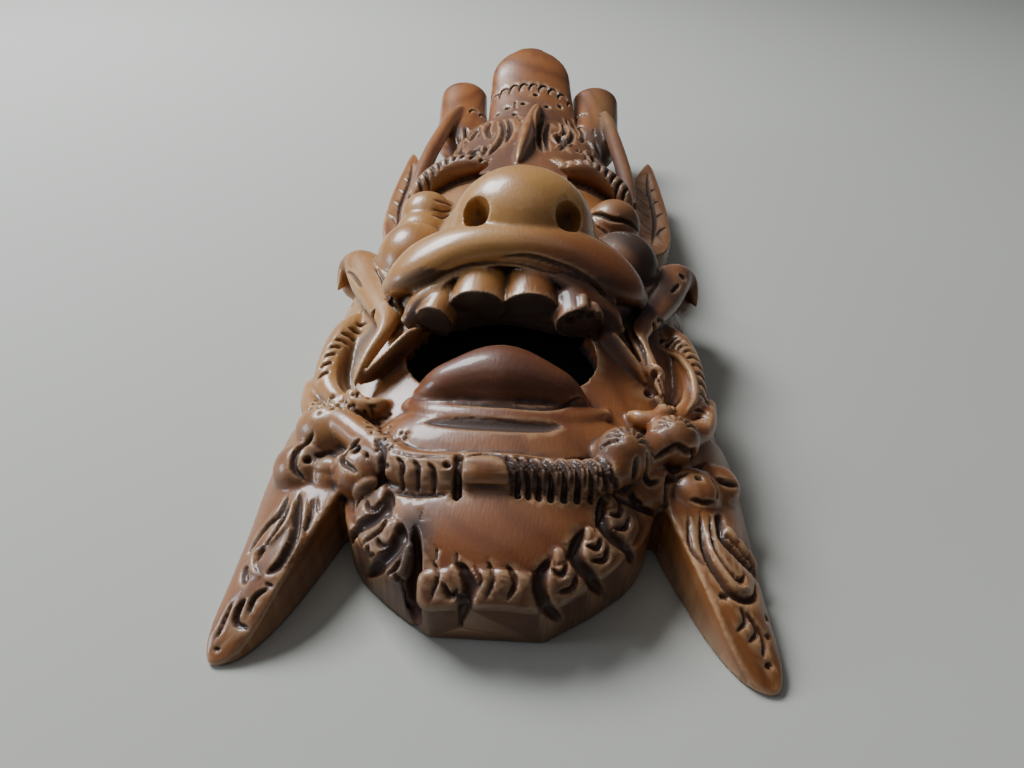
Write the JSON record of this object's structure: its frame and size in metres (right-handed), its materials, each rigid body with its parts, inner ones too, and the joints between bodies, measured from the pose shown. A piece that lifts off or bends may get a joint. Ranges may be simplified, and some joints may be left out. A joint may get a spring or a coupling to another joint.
{
  "type": "carved wooden barong mask",
  "caption": "Carved wooden barong beast mask with open fanged mouth, round snout, scrolled jaw, beard plate, two side flaps and a lobed crown, hollow at the back.",
  "frame": {"origin": "centre of the footprint of the mask as it lies on the rim of its back", "axes": "+X to the viewer's right of the face, +Y from the beard to the crown, +Z out of the face"},
  "size_m": [0.202, 0.5, 0.109],
  "materials": {
    "carved_wood": "soft brown hardwood, stained dark in the cuts, thin glossy varnish"
  },
  "bodies": {
    "root": {"mask": "carved_wood"}
  },
  "joints": []
}
